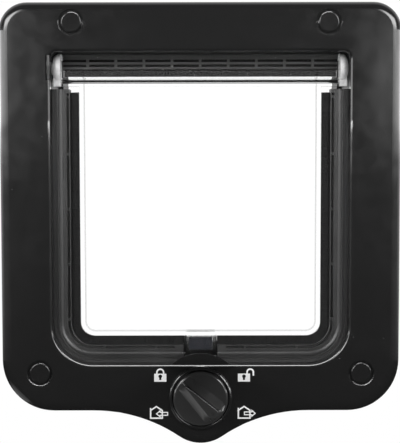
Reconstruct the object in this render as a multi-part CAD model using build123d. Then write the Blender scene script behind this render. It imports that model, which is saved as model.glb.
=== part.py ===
"""Four-way locking cat flap for a door: room-side frame, outdoor frame, clear flap and lock.

Millimetres. X runs across the door, +Y points outdoors, +Z is up.
The origin is the centre of the passage, on the door's room-side face.
"""
from build123d import *
import math
import os

# Passage and door
passage_width = 151.0
passage_height = 158.8
passage_low_corner = 20.5
passage_top_corner = 3.6
tunnel_wall = 2.0
door_thickness = 30.0
front_sleeve = 20.0
sleeve_overlap = 5.0
sleeve_clearance = 0.3

# Room-side frame
side_border = 26.2
top_border = 25.0
bottom_border = 24.5
frame_top_corner = 14.4
frame_low_corner = 26.5
frame_depth = 22.0
face_plate = 2.5
edge_wall = 1.8
edge_round = 5.0
lip_round = 1.3
rib_thickness = 1.6
rib_depth = 9.0
rib_spacing = 40.0

# Lock bulge under the frame
bulge_drop = 17.0
bulge_tip_radius = 19.5
bulge_flank_radius = 78.0
knob_to_tip = 24.5

# Outdoor frame
rear_depth = 9.0
rear_plate = 2.5
rear_edge_round = 5.0

# Fixing screws and their caps
upper_screw_x = 64.6
upper_screw_z = 93.9
lower_screw_x = 82.0
lower_screw_z = -83.5
screw_radius = 2.0
screw_clearance = 0.2
screw_head_radius = 4.0
screw_head_height = 2.8
screw_seat_depth = 9.0
screw_bite = 6.0
screw_tip_gap = 0.5
cap_radius = 5.15
cap_length = 5.0
cap_rise = 0.3
cap_round = 0.6
cap_clearance = 0.1
dish_radius = 6.4
dish_depth = 0.9
dish_round = 0.4
dish_rise = 0.06
post_wall = 1.8

# Clear flap
hinge_y = -10.8
barrel_radius = 7.6
barrel_wall = 1.6
barrel_mouth = 50.0
barrel_end = 3.5
barrel_end_round = 3.2
barrel_clearance = 0.4
shoulder_width = 149.0
shoulder_height = 3.0
shoulder_drop = 1.5
shoulder_depth = 4.5
panel_thickness = 2.4
panel_corner = 7.5
rim_width = 2.3
rim_rise = 1.2
pin_radius = 3.0
pin_length = 2.0
pin_clearance = 0.1
boss_wall = 2.8
boss_floor = 1.2
swing_out = 80.0
running_gap = 0.4

# Hinge keeper in the left pivot pocket
keeper_head_height = 12.4
keeper_head_depth = 1.5
keeper_recess = 1.0
keeper_round = 0.5
keeper_clearance = 0.15

# Seal holders and pile
holder_width = 9.2
holder_land = -15.0
holder_back = -9.2
holder_gap = 17.6
holder_round = 0.4
ledge_width = 1.5
ledge_step = 0.8
crest_start = 2.7
crest_width = 0.6
cove_end = 6.2
slot_width = 1.2
slot_edge = 0.6
slot_end = 4.4
pin_hole_radius = 0.7
pin_hole_drop = 2.6
pile_drop = 1.7
slot_pitch_side = 28.3
slot_first_bridge = 28.0
side_bridges = 4
slot_pitch_bottom = 26.8
bottom_first_bridge = 22.9
bottom_bridges = 2
bridge_width = 1.4
pile_depth = 4.3
pile_thickness = 2.0
backing_depth = 1.2
backing_thickness = 2.6
backing_clearance = 0.1

# Top seal bar behind the barrel
bar_depth = 6.0
bar_height = 7.6
bar_slots = 10
bar_slot_pitch = 14.6
bar_slot_height = 1.4
bar_slot_depth = 1.2
bar_row_rise = 2.6
bar_first_row = 1.2
top_pile_margin = 5.0

# Lug, magnets and lock
lug_width = 14.5
lug_front = -16.2
lug_back = -9.4
lug_engage = 2.65
magnet_width = 12.0
magnet_thickness = 3.6
magnet_height = 6.2
magnet_wall = 0.9
magnet_clearance = 0.1
sill_magnet_height = 4.0
cam_clearance = 0.4
cam_room = 0.5
cam_thickness = 2.0
cam_notch_clearance = 0.75
cam_notch_floor = 10.2
hub_radius = 8.0
hub_clearance = 0.5
shaft_square = 8.0
shaft_clearance = 0.1
journal_radius = 5.85
journal_clearance = 0.15
rear_hub_height = 1.4
washer_radius = 5.5
washer_thickness = 0.6
knob_screw_radius = 1.5
knob_screw_head = 2.8
knob_screw_head_height = 1.8
knob_screw_length = 12.0
detent_groove = 1.0
detent_gap = 0.3
leaf_thickness = 0.5
leaf_length = 22.0
leaf_width = 4.0
leaf_crown = 0.5
leaf_post_width = 2.5

# Knob
knob_radius = 14.0
knob_base = 2.6
knob_gap = 0.3
knob_edge_round = 1.2
grip_height = 6.5
grip_tip_reach = 11.6
grip_tip_radius = 1.4
grip_end_reach = 8.6
grip_end_radius = 3.6
grip_angle = 135.0
grip_draft = 8.0
grip_round = 0.3
skirt_reach = 3.6
skirt_height = 4.4
skirt_slope = 45.0
index_radius = 0.8
index_depth = 0.4
collar_gap = 0.4
collar_width = 1.8
collar_height = 1.6
collar_round = 1.1
collar_inner_round = 0.5

# Places worked out from the sizes above
half_width = passage_width / 2
half_height = passage_height / 2
frame_width = passage_width + 2 * side_border
frame_high = half_height + top_border
frame_low = -half_height - bottom_border
front_y = -frame_depth
plate_back_y = front_y + face_plate
rear_y = door_thickness + rear_depth
hinge_z = half_height - barrel_clearance - barrel_radius
barrel_half = half_width - barrel_clearance
shoulder_sweep = math.hypot(shoulder_depth, barrel_radius + shoulder_drop)
holder_top = hinge_z - shoulder_sweep - running_gap
flap_half = half_width - holder_width - pile_depth - running_gap
flap_low = -half_height + holder_width + pile_depth + running_gap
panel_back = hinge_y
panel_front = panel_back - panel_thickness
rim_front = panel_front - rim_rise
pile_y = (panel_front + panel_back) / 2
knob_z = frame_low - bulge_drop + knob_to_tip
cam_radius = knob_to_tip - edge_wall - cam_clearance
lug_low = knob_z + cam_radius - lug_engage
front_cam_y = plate_back_y + cam_clearance
holder_front = front_cam_y + cam_thickness + cam_clearance
rear_cam_y = lug_back + 2 * cam_clearance
rear_cam_back = rear_cam_y + cam_thickness
screw_places = [
    (-upper_screw_x, upper_screw_z),
    (upper_screw_x, upper_screw_z),
    (-lower_screw_x, lower_screw_z),
    (lower_screw_x, lower_screw_z),
]


def block(x0, x1, y0, y1, z0, z1):
    """A box between two opposite corners."""
    middle = Pos((x0 + x1) / 2, (y0 + y1) / 2, (z0 + z1) / 2)
    return middle * Box(x1 - x0, y1 - y0, z1 - z0)


def slab(face, y_front, y_back):
    """A face drawn in the door's plane, given depth between two distances from the door."""
    return extrude(Plane.XZ.offset(-y_back) * face, amount=y_back - y_front)


def rod_y(x, z, radius, y_front, y_back):
    """A round bar square to the door."""
    return slab(Pos(x, z) * Circle(radius), y_front, y_back)


def rod_x(radius, x0, x1):
    """A round bar on the hinge axis."""
    return extrude(Plane.YZ.offset(x0) * (Pos(hinge_y, hinge_z) * Circle(radius)), amount=x1 - x0)


def rounded_panel(half, low, high, low_corner, high_corner):
    """A rectangle whose low corners and high corners are rounded apart."""
    face = Pos(0, (low + high) / 2) * Rectangle(2 * half, high - low)
    face = fillet(face.vertices().group_by(Axis.Y)[0], low_corner)
    return fillet(face.vertices().group_by(Axis.Y)[-1], high_corner)


def passage_face(inset=0.0):
    """The passage's outline, moved inwards by an inset or outwards by a negative one."""
    return rounded_panel(
        half_width - inset,
        -half_height + inset,
        half_height - inset,
        passage_low_corner - inset,
        max(passage_top_corner - inset, 1.0),
    )


def bulge_face():
    """The pointed bulge under the frame: a round tip with hollow flanks that run out on the edge."""
    tip_low = frame_low - bulge_drop
    tip_centre = tip_low + bulge_tip_radius
    flank_centre = frame_low - bulge_flank_radius
    reach = bulge_tip_radius + bulge_flank_radius
    foot = math.sqrt(reach**2 - (tip_centre - flank_centre) ** 2)
    share = bulge_tip_radius / reach
    join = (foot * share, tip_centre + (flank_centre - tip_centre) * share)
    lean = (math.pi / 2 + math.atan2(join[1] - flank_centre, join[0] - foot)) / 2
    middle = (
        foot + bulge_flank_radius * math.cos(lean),
        flank_centre + bulge_flank_radius * math.sin(lean),
    )
    right = ThreePointArc((foot, frame_low), middle, join)
    tip = ThreePointArc(join, (0, tip_low), (-join[0], join[1]))
    left = ThreePointArc((-join[0], join[1]), (-middle[0], middle[1]), (-foot, frame_low))
    return make_face([right, tip, left, Line((-foot, frame_low), (foot, frame_low))])


def bezel_face():
    """The frame's outline without the bulge."""
    return rounded_panel(frame_width / 2, frame_low, frame_high, frame_low_corner, frame_top_corner)


def lip_edges(body, y):
    """The edges of the passage's mouth on a face at distance y."""
    found = []
    for edge in body.edges().filter_by_position(Axis.Y, y - 0.01, y + 0.01):
        middle = edge.center()
        if abs(middle.X) < half_width + 0.5 and abs(middle.Z) < half_height + 0.5:
            found.append(edge)
    return found


def stiffeners(y_front, y_back):
    """Ribs between the passage's wall and the frame's edge, two or three to a side."""
    ribs = []
    inner = half_width + tunnel_wall / 2
    outer = frame_width / 2 - edge_wall / 2
    for step in (-1, 0, 1):
        z = step * rib_spacing
        for x0, x1 in ((-outer, -inner), (inner, outer)):
            ribs.append(block(x0, x1, y_front, y_back, z - rib_thickness / 2, z + rib_thickness / 2))
    for x in (-rib_spacing, rib_spacing):
        x0 = x - rib_thickness / 2
        x1 = x + rib_thickness / 2
        top = half_height + tunnel_wall / 2
        ribs.append(block(x0, x1, y_front, y_back, top, frame_high - edge_wall / 2))
        ribs.append(block(x0, x1, y_front, y_back, frame_low + edge_wall / 2, -top))
    return ribs


def make_front_frame():
    """Room-side shell with its tunnel sleeve, screw posts, hinge bosses and lock housing."""
    outline = bezel_face() + bulge_face()
    body = slab(outline, front_y, 0)
    body = fillet(body.edges().group_by(Axis.Y)[0], edge_round)
    body -= slab(offset(outline, amount=-edge_wall), plate_back_y, 0)
    mid_plate = (front_y + plate_back_y) / 2
    body += slab(passage_face(-tunnel_wall), mid_plate, front_sleeve)
    for rib in stiffeners(plate_back_y, plate_back_y + rib_depth):
        body += rib
    for x, z in screw_places:
        body += rod_y(x, z, cap_radius + cap_clearance + post_wall, mid_plate, 0)
    body += rod_x(pin_radius + boss_wall, half_width, half_width + pin_length + boss_floor)
    pocket_half = keeper_head_height / 2 + keeper_clearance
    body += block(
        -half_width - pin_length - boss_floor,
        -half_width,
        mid_plate,
        hinge_y + pin_radius + boss_wall,
        hinge_z - pocket_half - boss_floor,
        hinge_z + pocket_half + boss_floor,
    )
    body += knob_collar()
    body += sill_pocket()
    for side in (-1, 1):
        body += leaf_post(side)
    body -= slab(passage_face(), front_y - 1, front_sleeve + 1)
    body = fillet(lip_edges(body, front_y), lip_round)
    for x, z in screw_places:
        body -= screw_way(x, z)
    body -= pivot_ways()
    body -= lock_ways()
    return body


def knob_collar():
    """The raised ring around the knob."""
    inner = knob_radius + collar_gap
    ring = slab(Pos(0, knob_z) * (Circle(inner + collar_width) - Circle(inner)), front_y - collar_height,
                (front_y + plate_back_y) / 2)
    crown = ring.edges().group_by(Axis.Y)[0].sort_by(SortBy.RADIUS)
    ring = fillet(crown[-1], collar_round)
    crown = ring.edges().group_by(Axis.Y)[0].sort_by(SortBy.RADIUS)
    return fillet(crown[0], collar_inner_round)


def sill_pocket():
    """The box under the sill, between the two cams, that holds the fixed magnet."""
    half = magnet_width / 2 + magnet_clearance + magnet_wall
    depth = magnet_thickness / 2 + magnet_clearance + magnet_wall
    middle = (lug_front + lug_back) / 2
    top = -half_height - tunnel_wall / 2
    low = -half_height - tunnel_wall - sill_magnet_height - magnet_clearance
    return block(-half, half, middle - depth, middle + depth, low, top)


def sill_magnet_box(clearance):
    """The fixed magnet, or the room it needs."""
    half = magnet_width / 2 + clearance
    depth = magnet_thickness / 2 + clearance
    middle = (lug_front + lug_back) / 2
    top = -half_height - tunnel_wall
    return block(-half, half, middle - depth, middle + depth, top - sill_magnet_height - clearance, top)


def leaf_seat_z():
    """The underside of the detent leaf."""
    return knob_z - hub_radius - detent_gap - leaf_crown - leaf_thickness


def leaf_post(side):
    """One of the two posts on the bulge's wall that carry the detent leaf."""
    reach = leaf_length / 2
    wall = knob_z - math.sqrt((knob_to_tip - edge_wall / 2) ** 2 - reach**2)
    middle = (lug_front + lug_back) / 2
    x0, x1 = sorted((side * (reach - leaf_post_width), side * reach))
    return block(x0, x1, middle - leaf_width / 2, middle + leaf_width / 2, wall, leaf_seat_z())


def dish():
    """The round hollow about a cap, whose rim rolls over onto the face."""
    outer = dish_radius + dish_round
    top = front_y - dish_rise
    foot = top + dish_round
    floor = front_y + dish_depth
    bend = dish_round * (1 - math.sqrt(0.5))
    edge = [
        Line((0, front_y - 1), (outer, front_y - 1)),
        Line((outer, front_y - 1), (outer, top)),
        ThreePointArc((outer, top), (dish_radius + bend, top + bend), (dish_radius, foot)),
        Line((dish_radius, foot), (dish_radius, floor)),
        Line((dish_radius, floor), (0, floor)),
        Line((0, floor), (0, front_y - 1)),
    ]
    return revolve(make_face(edge), Axis.Y)


def screw_way(x, z):
    """Dish, cap bore and screw hole of one fixing post."""
    seat = front_y + screw_seat_depth
    way = Pos(x, 0, z) * dish()
    way += rod_y(x, z, cap_radius + cap_clearance, front_y, seat)
    return way + rod_y(x, z, screw_radius + screw_clearance, seat - 1, 1)


def pivot_ways():
    """The right pivot's bore, and the left pivot's pocket that is open to the room."""
    radius = pin_radius + pin_clearance
    end = half_width + pin_length + pin_clearance
    ways = rod_x(radius, half_width - 1, end) + rod_x(radius, -end, -half_width + 1)
    ways += block(-end, -half_width + 1, front_y - 1, hinge_y, hinge_z - radius, hinge_z + radius)
    head = keeper_head_height / 2 + keeper_clearance
    head_back = front_y + keeper_recess + keeper_head_depth
    return ways + block(-end, -half_width + 1, front_y - 1, head_back, hinge_z - head, hinge_z + head)


def lock_ways():
    """The knob's bore, the two cams' room with the sill slots they stand up through, the magnet's room."""
    ways = rod_y(0, knob_z, journal_radius + journal_clearance, front_y - 1, plate_back_y + 1)
    drop = knob_z + half_height + tunnel_wall
    reach = math.sqrt(cam_radius**2 - drop**2) + cam_clearance
    for y in (front_cam_y, rear_cam_y):
        ways += block(
            -reach,
            reach,
            y - cam_clearance,
            y + cam_thickness + cam_clearance,
            -half_height - tunnel_wall - 1,
            -half_height + 1,
        )
        ways += rod_y(0, knob_z, cam_radius + cam_room, y - cam_clearance, y + cam_thickness + cam_clearance)
    return ways + sill_magnet_box(magnet_clearance)


def make_rear_frame():
    """Outdoor shell with a tunnel that slides into the room-side sleeve."""
    outline = bezel_face()
    body = slab(outline, door_thickness, rear_y)
    body = fillet(body.edges().group_by(Axis.Y)[-1], rear_edge_round)
    body -= slab(offset(outline, amount=-edge_wall), door_thickness, rear_y - rear_plate)
    body += slab(passage_face(sleeve_clearance), front_sleeve - sleeve_overlap, rear_y - rear_plate / 2)
    for x, z in screw_places:
        body += rod_y(x, z, screw_radius + 2 * post_wall, door_thickness, rear_y - rear_plate / 2)
    body -= slab(passage_face(sleeve_clearance + tunnel_wall), front_sleeve - sleeve_overlap - 1, rear_y + 1)
    body = fillet(lip_edges(body, rear_y), lip_round)
    for x, z in screw_places:
        body -= rod_y(x, z, screw_radius + pin_clearance, door_thickness - 1,
                      door_thickness + screw_bite + screw_tip_gap)
    return body


def make_fixing_screws():
    """Four long pan-head screws from the front posts into the outdoor frame's bosses."""
    seat = front_y + screw_seat_depth
    screws = []
    for x, z in screw_places:
        head = rod_y(x, z, screw_head_radius, seat - screw_head_height, seat)
        head = fillet(head.edges().group_by(Axis.Y)[0], screw_head_height / 2)
        screws.append(head + rod_y(x, z, screw_radius, seat, door_thickness + screw_bite))
    return Compound(screws)


def make_screw_caps():
    """Four round-edged plugs that close the screw posts."""
    caps = []
    for x, z in screw_places:
        top = front_y - cap_rise
        cap = rod_y(x, z, cap_radius, top, top + cap_length)
        caps.append(fillet(cap.edges().group_by(Axis.Y)[0], cap_round))
    return Compound(caps)


def make_flap():
    """Clear flap: panel with a rim, hinge barrel open at the back, pivot stubs and lock lug."""
    outline = rounded_panel(flap_half, flap_low, hinge_z, panel_corner, 1.0)
    panel = slab(outline, rim_front, panel_back)
    field = rounded_panel(flap_half - rim_width, flap_low + rim_width, hinge_z, panel_corner - rim_width, 1.0)
    panel -= slab(field, rim_front - 1, panel_front)
    panel += lug_block()
    top_z = hinge_z - barrel_radius
    panel += block(
        -shoulder_width / 2,
        shoulder_width / 2,
        hinge_y - shoulder_depth,
        panel_back,
        top_z - shoulder_drop,
        top_z + shoulder_height,
    )
    bore = barrel_radius - barrel_wall
    panel -= rod_x(bore, -barrel_half, barrel_half)
    end_bars = rod_x(barrel_radius, -barrel_half, barrel_half)
    end_bars = fillet(end_bars.edges().filter_by(GeomType.CIRCLE), barrel_end_round)
    hollow_half = barrel_half - barrel_end
    end_bars -= rod_x(bore, -hollow_half, hollow_half)
    mouth = bore * math.sin(math.radians(barrel_mouth))
    end_bars -= block(
        -hollow_half,
        hollow_half,
        hinge_y + bore * math.cos(math.radians(barrel_mouth)),
        hinge_y + barrel_radius + 1,
        hinge_z - mouth,
        hinge_z + mouth,
    )
    panel += end_bars
    for x0, x1 in ((-barrel_half - barrel_clearance - pin_length, -barrel_half + 1),
                   (barrel_half - 1, barrel_half + barrel_clearance + pin_length)):
        panel += rod_x(pin_radius, x0, x1)
    return panel - flap_magnet_box(magnet_clearance, open_below=True)


def lug_block():
    """The thick lug under the flap that the lock's cams catch."""
    lug = block(-lug_width / 2, lug_width / 2, lug_front, lug_back, lug_low, flap_low + rim_width)
    return fillet(lug.edges().filter_by(Axis.Y).group_by(Axis.Z)[0], magnet_wall)


def flap_magnet_box(clearance, open_below=False):
    """The closing magnet in the lug, or the pocket that it slides into from below."""
    half = magnet_width / 2 + clearance
    middle = (lug_front + lug_back) / 2
    depth = magnet_thickness / 2 + clearance
    top = flap_low - magnet_wall
    low = lug_low - 1 if open_below else top - magnet_height
    return block(-half, half, middle - depth, middle + depth, low, top)


def make_keeper():
    """Clip that closes the left pivot pocket in front of the pin."""
    radius = pin_radius + pin_clearance
    x0 = -half_width - pin_length + keeper_clearance
    x1 = -half_width - barrel_clearance + keeper_clearance
    head_front = front_y + keeper_recess
    half = keeper_head_height / 2
    head = block(x0, x1, head_front, head_front + keeper_head_depth, hinge_z - half, hinge_z + half)
    head = fillet(head.edges().filter_by(Axis.Z).group_by(Axis.Y)[0], keeper_round)
    tongue_half = radius - keeper_clearance
    tongue = block(x0, x1, head_front, hinge_y, hinge_z - tongue_half, hinge_z + tongue_half)
    return head + tongue - rod_x(radius, x0 - 1, x1 + 1)


def seal_path(start, end):
    """The line along the left wall and the sill that a holder follows, at the passage's wall."""
    corner = passage_low_corner
    low = -half_height
    turn = (-half_width + corner, low + corner)
    middle = (turn[0] - corner * math.sqrt(0.5), turn[1] - corner * math.sqrt(0.5))
    down = Line((-half_width, 0, start), (-half_width, 0, turn[1]))
    bend = ThreePointArc((-half_width, 0, turn[1]), (middle[0], 0, middle[1]), (turn[0], 0, low))
    along = Line((turn[0], 0, low), (-end, 0, low))
    return Wire([down.edge(), bend.edge(), along.edge()])


def seal_sweep(section, start, end):
    """A section of (distance from the wall, distance in front of the door) swept along the seal's line."""
    plane = Plane(origin=(-half_width, 0, start), x_dir=(1, 0, 0), z_dir=(0, 0, -1))
    return sweep(plane * section, path=seal_path(start, end))


def upright(u0, u1, y_front, y_back):
    """A rectangle for a seal section."""
    return Pos((u0 + u1) / 2, -(y_front + y_back) / 2) * Rectangle(u1 - u0, y_back - y_front)


def holder_section():
    """Ledge on the wall, step, crest, hollow cove and flat land, seen along the seal's line."""
    back = -holder_back
    front = -holder_front
    land = -holder_land
    step = front - ledge_step
    bend = holder_round * (1 - math.sqrt(0.5))
    crest_low = front - crest_width / 2
    crest_end = crest_start + crest_width
    crest_top = (crest_start + crest_width / 2, front)
    hollow = (crest_end + (cove_end - crest_end) * 0.3, land + (crest_low - land) * 0.3)
    inner = holder_width - holder_round
    edge = [
        Line((0, back), (0, front - holder_round)),
        ThreePointArc((0, front - holder_round), (bend, front - bend), (holder_round, front)),
        Line((holder_round, front), (ledge_width, front)),
        Line((ledge_width, front), (ledge_width, step)),
        Line((ledge_width, step), (crest_start, step)),
        Line((crest_start, step), (crest_start, crest_low)),
        ThreePointArc((crest_start, crest_low), crest_top, (crest_end, crest_low)),
        ThreePointArc((crest_end, crest_low), hollow, (cove_end, land)),
        Line((cove_end, land), (inner, land)),
        ThreePointArc((inner, land), (holder_width - bend, land - bend), (holder_width, land - holder_round)),
        Line((holder_width, land - holder_round), (holder_width, back)),
        Line((holder_width, back), (0, back)),
    ]
    return make_face(edge)


def backing_section(clearance):
    """The pile's backing strip, or the channel that it slides into."""
    half = backing_thickness / 2 + clearance
    return upright(holder_width - backing_depth, holder_width + clearance, pile_y - half, pile_y + half)


def make_left_holder():
    """Slotted holder along the left side and half the sill."""
    end = holder_gap / 2
    body = seal_sweep(holder_section(), holder_top, end)
    body -= seal_sweep(backing_section(backing_clearance), holder_top, end)
    slot_in = holder_width - slot_edge
    section = upright(slot_in - slot_width, slot_in, holder_land - 1, pile_y - backing_thickness / 2)
    slot = seal_sweep(section, holder_top - slot_end, end + slot_end)
    for step in range(side_bridges):
        z = slot_first_bridge - step * slot_pitch_side
        slot -= block(-half_width, -flap_half, holder_front, holder_back,
                      z - bridge_width / 2, z + bridge_width / 2)
    for step in range(bottom_bridges):
        x = -bottom_first_bridge - step * slot_pitch_bottom
        slot -= block(x - bridge_width / 2, x + bridge_width / 2, holder_front, holder_back,
                      -half_height, flap_low)
    hole_x = -half_width + slot_in - slot_width / 2
    hole_z = holder_top - pin_hole_drop
    slot += rod_y(hole_x, hole_z, pin_hole_radius, holder_land - 1, pile_y - backing_thickness / 2)
    return body - slot


def make_left_brush():
    """Pile strip with its backing, bent round the corner beside the flap."""
    pile = upright(
        holder_width,
        holder_width + pile_depth,
        pile_y - pile_thickness / 2,
        pile_y + pile_thickness / 2,
    )
    return seal_sweep(backing_section(0) + pile, holder_top - pile_drop, holder_gap / 2)


def bar_front():
    """The front of the top seal bar, just behind the barrel."""
    return hinge_y + barrel_radius + barrel_clearance


def make_top_holder():
    """Bar behind the barrel with two rows of slots and a channel for the pile."""
    y0 = bar_front()
    low = half_height - bar_height
    bar = block(-half_width, half_width, y0, y0 + bar_depth, low, half_height)
    bar &= slab(passage_face(), y0, y0 + bar_depth)
    reach = (bar_slot_pitch - bridge_width) / 2
    for row in range(2):
        z = low + bar_first_row + row * bar_row_rise
        for step in range(bar_slots):
            x = (step - (bar_slots - 1) / 2) * bar_slot_pitch
            bar -= block(x - reach, x + reach, y0 - 1, y0 + bar_slot_depth, z, z + bar_slot_height)
    half = backing_thickness / 2 + backing_clearance
    middle = y0 + bar_depth / 2
    return bar - block(-half_width, half_width, middle - half, middle + half, low - 1, low + backing_depth)


def make_top_brush():
    """Pile strip under the top bar, just clear of the flap at the end of its swing."""
    middle = bar_front() + bar_depth / 2
    low = half_height - bar_height
    reach = half_width - top_pile_margin
    half = backing_thickness / 2
    backing = block(-reach, reach, middle - half, middle + half, low, low + backing_depth)
    pile_front = middle - pile_thickness / 2
    fall = (pile_front - hinge_y) / math.tan(math.radians(swing_out))
    end = hinge_z - fall + running_gap
    return backing + block(-reach, reach, pile_front, pile_front + pile_thickness, end, low)


def make_cam(y_front, angles, hub_back):
    """Lock disc with notches for the lug at the given angles, and a hub behind it."""
    back = y_front + cam_thickness
    cam = rod_y(0, knob_z, cam_radius, y_front, back)
    half = lug_width / 2 + cam_notch_clearance
    for angle in angles:
        notch = Rot(0, 0, angle) * Pos(cam_notch_floor + cam_radius / 2) * Rectangle(cam_radius, 2 * half)
        cam -= slab(Pos(0, knob_z) * notch, y_front - 1, back + 1)
    cam += rod_y(0, knob_z, hub_radius, back, hub_back)
    square = shaft_square + 2 * shaft_clearance
    return cam - slab(Pos(0, knob_z) * Rectangle(square, square), y_front - 1, hub_back + 1)


def make_front_cam():
    """Disc in front of the lug, with a long hub that has four clicks."""
    back = rear_cam_y
    cam = make_cam(front_cam_y, (0, 180), back)
    for angle in (0, 90, 180, 270):
        groove = Rot(0, 0, angle) * Pos(hub_radius) * Circle(detent_groove)
        cam -= slab(Pos(0, knob_z) * groove, front_cam_y + cam_thickness + hub_clearance, back + 1)
    return cam


def make_rear_cam():
    """Disc behind the lug."""
    return make_cam(rear_cam_y, (90, 0), rear_cam_back + rear_hub_height)


def grip_face():
    """The teardrop outline of the grip, tip to the upper left."""
    reach = grip_tip_reach - grip_tip_radius
    length = reach + grip_end_reach
    lean = math.acos((grip_end_radius - grip_tip_radius) / length)
    tip_side = (reach - grip_tip_radius * math.cos(lean), grip_tip_radius * math.sin(lean))
    end_side = (-grip_end_reach - grip_end_radius * math.cos(lean), grip_end_radius * math.sin(lean))
    mirrored = [(tip_side[0], -tip_side[1]), (end_side[0], -end_side[1])]
    edge = [
        Line(end_side, tip_side),
        ThreePointArc(tip_side, (reach + grip_tip_radius, 0), mirrored[0]),
        Line(mirrored[0], mirrored[1]),
        ThreePointArc(mirrored[1], (-grip_end_reach - grip_end_radius, 0), end_side),
    ]
    return Rot(0, 0, grip_angle) * make_face(edge)


def make_knob():
    """Round knob with a teardrop grip on a sloping skirt, a round journal and a square shaft for the cams."""
    base_back = front_y - knob_gap
    base_front = base_back - knob_base
    knob = rod_y(0, knob_z, knob_radius, base_front, base_back)
    knob = fillet(knob.edges().group_by(Axis.Y)[0], knob_edge_round)
    plane = Plane.XZ.offset(-base_front - knob_gap)
    outline = Pos(0, knob_z) * grip_face()
    skirt = extrude(plane * offset(outline, amount=skirt_reach), amount=skirt_height, taper=skirt_slope)
    skirt &= rod_y(0, knob_z, knob_radius - knob_edge_round, base_front - skirt_height, base_back)
    knob += skirt
    grip = extrude(plane * outline, amount=grip_height, taper=grip_draft)
    grip = fillet(grip.edges().group_by(Axis.Y)[0], grip_round)
    knob += grip
    turn = math.radians(grip_angle)
    index_x = -grip_end_reach * math.cos(turn)
    index_z = knob_z - grip_end_reach * math.sin(turn)
    grip_front = base_front + knob_gap - grip_height
    knob -= rod_y(index_x, index_z, index_radius, grip_front - 1, grip_front + index_depth)
    knob += rod_y(0, knob_z, journal_radius, base_back, front_cam_y)
    knob += slab(Pos(0, knob_z) * Rectangle(shaft_square, shaft_square), front_cam_y,
                 rear_cam_back + rear_hub_height)
    hole_front = rear_cam_back + rear_hub_height - knob_screw_length
    return knob - rod_y(0, knob_z, knob_screw_radius + shaft_clearance, hole_front, rear_cam_back + 10)


def make_washer():
    """Washer under the knob screw's head."""
    y = rear_cam_back + rear_hub_height
    ring = Circle(washer_radius) - Circle(knob_screw_radius + shaft_clearance)
    return slab(Pos(0, knob_z) * ring, y, y + washer_thickness)


def make_knob_screw():
    """Screw that draws both cams onto the knob's shaft."""
    seat = rear_cam_back + rear_hub_height + washer_thickness
    head = rod_y(0, knob_z, knob_screw_head, seat, seat + knob_screw_head_height)
    head = fillet(head.edges().group_by(Axis.Y)[-1], knob_screw_head_height / 2)
    return head + rod_y(0, knob_z, knob_screw_radius, seat - knob_screw_length + 1, seat)


def make_detent_leaf():
    """Leaf spring on two posts, crowned in the middle towards the hub."""
    low = leaf_seat_z()
    half = leaf_length / 2
    flat = half - leaf_post_width
    under = [
        Line((-half, low), (-flat, low)),
        ThreePointArc((-flat, low), (0, low + leaf_crown), (flat, low)),
        Line((flat, low), (half, low)),
        Line((half, low), (half, low + leaf_thickness)),
        Line((half, low + leaf_thickness), (flat, low + leaf_thickness)),
        ThreePointArc((flat, low + leaf_thickness), (0, low + leaf_thickness + leaf_crown),
                      (-flat, low + leaf_thickness)),
        Line((-flat, low + leaf_thickness), (-half, low + leaf_thickness)),
        Line((-half, low + leaf_thickness), (-half, low)),
    ]
    middle = (lug_front + lug_back) / 2
    return slab(make_face(under), middle - leaf_width / 2, middle + leaf_width / 2)


def write(name, shape):
    """Save one piece under its own name."""
    export_step(shape, f"parts/{name}.step")


os.makedirs("parts", exist_ok=True)
left_holder = make_left_holder()
left_brush = make_left_brush()
write("front_frame", make_front_frame())
write("rear_frame", make_rear_frame())
write("fixing_screws", make_fixing_screws())
write("screw_caps", make_screw_caps())
write("flap_panel", make_flap())
write("flap_magnet", flap_magnet_box(0))
write("hinge_keeper", make_keeper())
write("seal_holder_left", left_holder)
write("seal_holder_right", mirror(left_holder, Plane.YZ))
write("seal_holder_top", make_top_holder())
write("brush_left", left_brush)
write("brush_right", mirror(left_brush, Plane.YZ))
write("brush_top", make_top_brush())
write("sill_magnet", sill_magnet_box(0))
write("lock_knob", make_knob())
write("front_cam", make_front_cam())
write("rear_cam", make_rear_cam())
write("knob_washer", make_washer())
write("knob_screw", make_knob_screw())
write("detent_spring", make_detent_leaf())
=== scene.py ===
# %% [markdown]
# # A four-way locking cat flap
#
# The real thing is a glossy black frame screwed to a door, with a clear flap that swings in a tunnel,
# a black pile seal around the flap and a round knob that sets which way the cat may go.
# The solids of every rigid piece come ready made and stay where they are. This lesson gives them their
# finishes, grows the pile of the seal, cuts the screws' threads, prints the four signs and sets up a studio.

# %% Load the solids
import math

import bmesh
import bpy
from mathutils import Matrix, Quaternion, Vector


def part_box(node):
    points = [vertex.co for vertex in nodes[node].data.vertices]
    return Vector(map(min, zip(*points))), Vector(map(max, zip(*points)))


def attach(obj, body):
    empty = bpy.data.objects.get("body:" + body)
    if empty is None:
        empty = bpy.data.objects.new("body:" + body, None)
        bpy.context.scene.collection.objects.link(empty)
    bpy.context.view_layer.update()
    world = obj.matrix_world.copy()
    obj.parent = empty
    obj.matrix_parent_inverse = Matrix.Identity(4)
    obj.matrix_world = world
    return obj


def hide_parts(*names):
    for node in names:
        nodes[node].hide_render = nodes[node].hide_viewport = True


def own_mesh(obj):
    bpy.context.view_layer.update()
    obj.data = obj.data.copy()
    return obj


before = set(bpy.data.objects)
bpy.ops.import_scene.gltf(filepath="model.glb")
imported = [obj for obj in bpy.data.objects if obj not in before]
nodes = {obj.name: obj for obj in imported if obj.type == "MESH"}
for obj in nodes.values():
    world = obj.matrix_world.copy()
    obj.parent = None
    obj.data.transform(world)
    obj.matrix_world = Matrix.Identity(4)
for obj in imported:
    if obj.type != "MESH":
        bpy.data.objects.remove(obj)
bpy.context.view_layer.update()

MM = 0.001

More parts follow.
